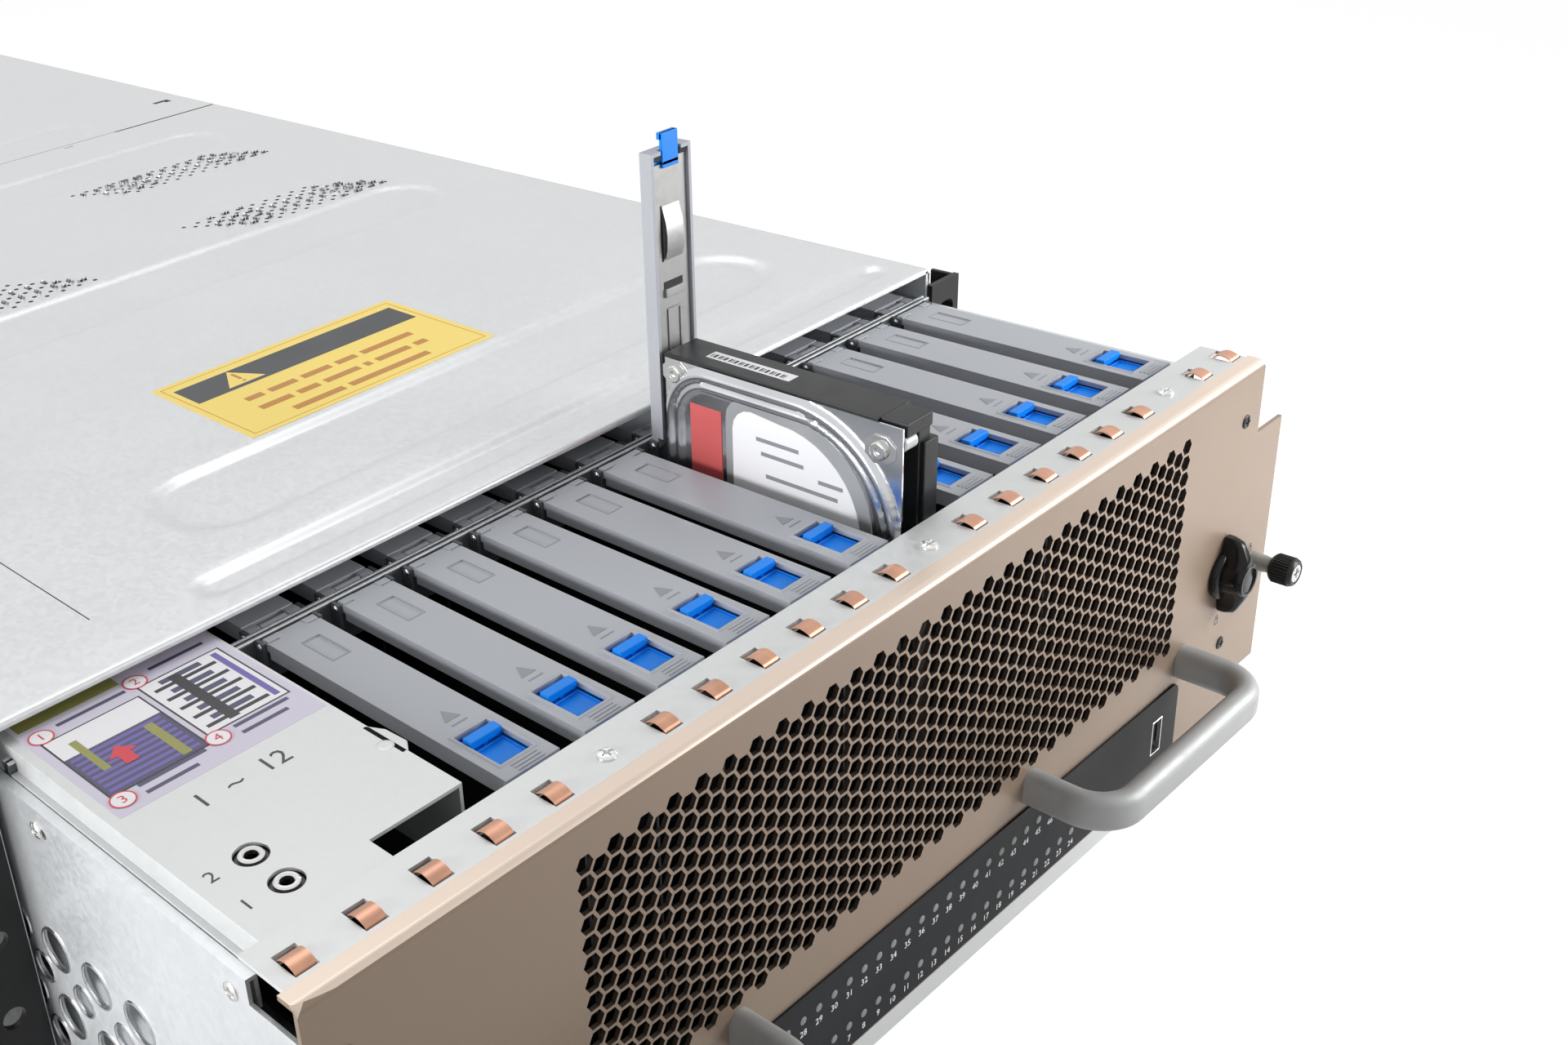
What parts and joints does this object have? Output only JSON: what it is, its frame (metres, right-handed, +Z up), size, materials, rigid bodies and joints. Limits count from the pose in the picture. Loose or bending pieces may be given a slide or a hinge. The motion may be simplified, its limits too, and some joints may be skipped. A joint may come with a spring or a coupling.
{
  "type": "rackmount server chassis",
  "caption": "Four-unit rack server chassis with a pull-out drawer of upright drive bays under hinged, latched lids, with one drive raised.",
  "frame": {"origin": "centre of the underside of the chassis floor", "axes": "+X to the right seen from the front, +Y towards the back along the drawer's travel, +Z up"},
  "size_m": [0.4826, 1.063, 0.2781],
  "materials": {
    "galvanised_steel": "spangled galvanised sheet",
    "front_cover_steel": "spangled galvanised sheet with pressed ribs",
    "drawer_steel": "bright galvanised sheet",
    "bezel_paint": "satin gold-beige powder coat",
    "black_paint": "satin black powder coat",
    "rail_steel": "rolled bright steel",
    "screw_steel": "bright plated",
    "copper": "bright copper alloy",
    "lid_plastic": "fine moulded texture",
    "latch_blue": "satin moulded",
    "pin_steel": "drawn pin stock",
    "divider_steel": "dark plated sheet",
    "board_green": "solder-masked laminate",
    "drive_metal": "pressed lid on a black cast body",
    "handle_aluminium": "satin brushed and anodised",
    "knob_plastic": "glossy black moulding",
    "thumb_black": "black knurled head, bright face",
    "strip_slate": "dark slate film",
    "light_grey": "frosted window",
    "port_metal": "plated shell",
    "fan_black": "moulded",
    "supply_steel": "bare steel case"
  },
  "bodies": {
    "chassis": {"chassis_base": "galvanised_steel", "rear_panel": "galvanised_steel", "front_top_cover": "front_cover_steel", "rear_top_cover": "front_cover_steel", "rack_ears": "black_paint", "outer_rails": "rail_steel", "chassis_screws": "screw_steel", "mainboard": "board_green", "fan_frames": "fan_black"},
    "middle_rails": {"middle_rails": "rail_steel"},
    "drawer": {"drawer_tub": "drawer_steel", "front_panel": "bezel_paint", "front_frame": "drawer_steel", "emi_fingers": "copper", "drawer_screws": "screw_steel", "led_strip": "strip_slate", "led_windows": "light_grey", "ports": "port_metal", "handles": "handle_aluminium", "label_plate": "drawer_steel", "crossbars": "drawer_steel", "hinge_pins": "pin_steel", "bay_dividers": "divider_steel", "backplane": "board_green", "rear_covers": "lid_plastic", "inner_rails": "rail_steel"},
    "fan_rotor_1": {"fan_rotor_1": "fan_black"},
    "fan_rotor_2": {"fan_rotor_2": "fan_black"},
    "fan_rotor_3": {"fan_rotor_3": "fan_black"},
    "power_supply_1": {"power_supply_1": "supply_steel"},
    "power_supply_2": {"power_supply_2": "supply_steel"},
    "drive": {"drive": "drive_metal"},
    "knob_left": {"knob_left": "knob_plastic"},
    "knob_right": {"knob_right": "knob_plastic"},
    "thumbscrew_left": {"thumbscrew_left": "thumb_black"},
    "thumbscrew_right": {"thumbscrew_right": "thumb_black"},
    "cover_01": {"cover_01": "lid_plastic"},
    "latch_01": {"latch_01": "latch_blue"},
    "cover_02": {"cover_02": "lid_plastic"},
    "latch_02": {"latch_02": "latch_blue"},
    "cover_03": {"cover_03": "lid_plastic"},
    "latch_03": {"latch_03": "latch_blue"},
    "cover_04": {"cover_04": "lid_plastic"},
    "latch_04": {"latch_04": "latch_blue"},
    "cover_05": {"cover_05": "lid_plastic"},
    "latch_05": {"latch_05": "latch_blue"},
    "cover_06": {"cover_06": "lid_plastic"},
    "latch_06": {"latch_06": "latch_blue"},
    "cover_07": {"cover_07": "lid_plastic"},
    "latch_07": {"latch_07": "latch_blue"},
    "cover_08": {"cover_08": "lid_plastic"},
    "latch_08": {"latch_08": "latch_blue"},
    "cover_09": {"cover_09": "lid_plastic"},
    "latch_09": {"latch_09": "latch_blue"},
    "cover_10": {"cover_10": "lid_plastic"},
    "latch_10": {"latch_10": "latch_blue"},
    "cover_11": {"cover_11": "lid_plastic"},
    "latch_11": {"latch_11": "latch_blue"},
    "cover_12": {"cover_12": "lid_plastic"},
    "latch_12": {"latch_12": "latch_blue"}
  },
  "joints": [
    {"name": "drawer_slide", "type": "slide", "parent": "chassis", "child": "drawer", "axis": [0, -1, 0], "range_m": [0, 0.345]},
    {"name": "middle_rail_slide", "type": "slide", "parent": "chassis", "child": "middle_rails", "axis": [0, -1, 0], "range_m": [0, 0.1725]},
    {"name": "drive_lift", "type": "slide", "parent": "drawer", "child": "drive", "axis": [0, 0, 1], "range_m": [-0.0448, 0.12]},
    {"name": "fan_spin_1", "type": "hinge", "parent": "chassis", "child": "fan_rotor_1", "pos_m": [-0.138, 0.126, 0.076], "axis": [0, 1, 0], "continuous": true},
    {"name": "fan_spin_2", "type": "hinge", "parent": "chassis", "child": "fan_rotor_2", "pos_m": [0, 0.126, 0.076], "axis": [0, 1, 0], "continuous": true},
    {"name": "fan_spin_3", "type": "hinge", "parent": "chassis", "child": "fan_rotor_3", "pos_m": [0.138, 0.126, 0.076], "axis": [0, 1, 0], "continuous": true},
    {"name": "supply_slide_1", "type": "slide", "parent": "chassis", "child": "power_supply_1", "axis": [0, 1, 0], "range_m": [0, 0.18]},
    {"name": "supply_slide_2", "type": "slide", "parent": "chassis", "child": "power_supply_2", "axis": [0, 1, 0], "range_m": [0, 0.18]},
    {"name": "knob_turn_left", "type": "hinge", "parent": "drawer", "child": "knob_left", "pos_m": [-0.206, -0.576, 0.089], "axis": [0, 1, 0], "range_deg": [0, 90]},
    {"name": "thumbscrew_turn_left", "type": "hinge", "parent": "drawer", "child": "thumbscrew_left", "pos_m": [-0.2317, -0.576, 0.083], "axis": [0, 1, 0], "continuous": true},
    {"name": "knob_turn_right", "type": "hinge", "parent": "drawer", "child": "knob_right", "pos_m": [0.206, -0.576, 0.089], "axis": [0, -1, 0], "range_deg": [0, 90]},
    {"name": "thumbscrew_turn_right", "type": "hinge", "parent": "drawer", "child": "thumbscrew_right", "pos_m": [0.2317, -0.576, 0.083], "axis": [0, 1, 0], "continuous": true},
    {"name": "cover_hinge_01", "type": "hinge", "parent": "drawer", "child": "cover_01", "pos_m": [-0.121, -0.4374, 0.1643], "axis": [-1, 0, 0], "range_deg": [0, 90]},
    {"name": "latch_slide_01", "type": "slide", "parent": "cover_01", "child": "latch_01", "axis": [0, 1, 0], "range_m": [0, 0.003], "stiffness_N_per_m": 300, "springref_m": -0.002},
    {"name": "cover_hinge_02", "type": "hinge", "parent": "drawer", "child": "cover_02", "pos_m": [-0.09175, -0.4374, 0.1643], "axis": [-1, 0, 0], "range_deg": [0, 90]},
    {"name": "latch_slide_02", "type": "slide", "parent": "cover_02", "child": "latch_02", "axis": [0, 1, 0], "range_m": [0, 0.003], "stiffness_N_per_m": 300, "springref_m": -0.002},
    {"name": "cover_hinge_03", "type": "hinge", "parent": "drawer", "child": "cover_03", "pos_m": [-0.0625, -0.4374, 0.1643], "axis": [-1, 0, 0], "range_deg": [0, 90]},
    {"name": "latch_slide_03", "type": "slide", "parent": "cover_03", "child": "latch_03", "axis": [0, 1, 0], "range_m": [0, 0.003], "stiffness_N_per_m": 300, "springref_m": -0.002},
    {"name": "cover_hinge_04", "type": "hinge", "parent": "drawer", "child": "cover_04", "pos_m": [-0.03325, -0.4374, 0.1643], "axis": [-1, 0, 0], "range_deg": [0, 90]},
    {"name": "latch_slide_04", "type": "slide", "parent": "cover_04", "child": "latch_04", "axis": [0, 1, 0], "range_m": [0, 0.003], "stiffness_N_per_m": 300, "springref_m": -0.002},
    {"name": "cover_hinge_05", "type": "hinge", "parent": "drawer", "child": "cover_05", "pos_m": [-0.004, -0.4374, 0.1643], "axis": [-1, 0, 0], "range_deg": [0, 90]},
    {"name": "latch_slide_05", "type": "slide", "parent": "cover_05", "child": "latch_05", "axis": [0, 1, 0], "range_m": [0, 0.003], "stiffness_N_per_m": 300, "springref_m": -0.002},
    {"name": "cover_hinge_06", "type": "hinge", "parent": "drawer", "child": "cover_06", "pos_m": [0.02525, -0.4374, 0.1643], "axis": [-1, 0, 0], "range_deg": [0, 90]},
    {"name": "latch_slide_06", "type": "slide", "parent": "cover_06", "child": "latch_06", "axis": [0, 1, 0], "range_m": [0, 0.003], "stiffness_N_per_m": 300, "springref_m": -0.002},
    {"name": "cover_hinge_07", "type": "hinge", "parent": "drawer", "child": "cover_07", "pos_m": [0.0545, -0.4374, 0.1643], "axis": [-1, 0, 0], "range_deg": [-3, 12]},
    {"name": "latch_slide_07", "type": "slide", "parent": "cover_07", "child": "latch_07", "axis": [0, 0, -1], "range_m": [0, 0.003], "stiffness_N_per_m": 300, "springref_m": -0.002},
    {"name": "cover_hinge_08", "type": "hinge", "parent": "drawer", "child": "cover_08", "pos_m": [0.08375, -0.4374, 0.1643], "axis": [-1, 0, 0], "range_deg": [0, 90]},
    {"name": "latch_slide_08", "type": "slide", "parent": "cover_08", "child": "latch_08", "axis": [0, 1, 0], "range_m": [0, 0.003], "stiffness_N_per_m": 300, "springref_m": -0.002},
    {"name": "cover_hinge_09", "type": "hinge", "parent": "drawer", "child": "cover_09", "pos_m": [0.113, -0.4374, 0.1643], "axis": [-1, 0, 0], "range_deg": [0, 90]},
    {"name": "latch_slide_09", "type": "slide", "parent": "cover_09", "child": "latch_09", "axis": [0, 1, 0], "range_m": [0, 0.003], "stiffness_N_per_m": 300, "springref_m": -0.002},
    {"name": "cover_hinge_10", "type": "hinge", "parent": "drawer", "child": "cover_10", "pos_m": [0.14225, -0.4374, 0.1643], "axis": [-1, 0, 0], "range_deg": [0, 90]},
    {"name": "latch_slide_10", "type": "slide", "parent": "cover_10", "child": "latch_10", "axis": [0, 1, 0], "range_m": [0, 0.003], "stiffness_N_per_m": 300, "springref_m": -0.002},
    {"name": "cover_hinge_11", "type": "hinge", "parent": "drawer", "child": "cover_11", "pos_m": [0.1715, -0.4374, 0.1643], "axis": [-1, 0, 0], "range_deg": [0, 90]},
    {"name": "latch_slide_11", "type": "slide", "parent": "cover_11", "child": "latch_11", "axis": [0, 1, 0], "range_m": [0, 0.003], "stiffness_N_per_m": 300, "springref_m": -0.002},
    {"name": "cover_hinge_12", "type": "hinge", "parent": "drawer", "child": "cover_12", "pos_m": [0.20075, -0.4374, 0.1643], "axis": [-1, 0, 0], "range_deg": [0, 90]},
    {"name": "latch_slide_12", "type": "slide", "parent": "cover_12", "child": "latch_12", "axis": [0, 1, 0], "range_m": [0, 0.003], "stiffness_N_per_m": 300, "springref_m": -0.002}
  ],
  "couplings": [
    {"joint": "middle_rail_slide", "follows": "drawer_slide", "ratio": 0.5}
  ]
}
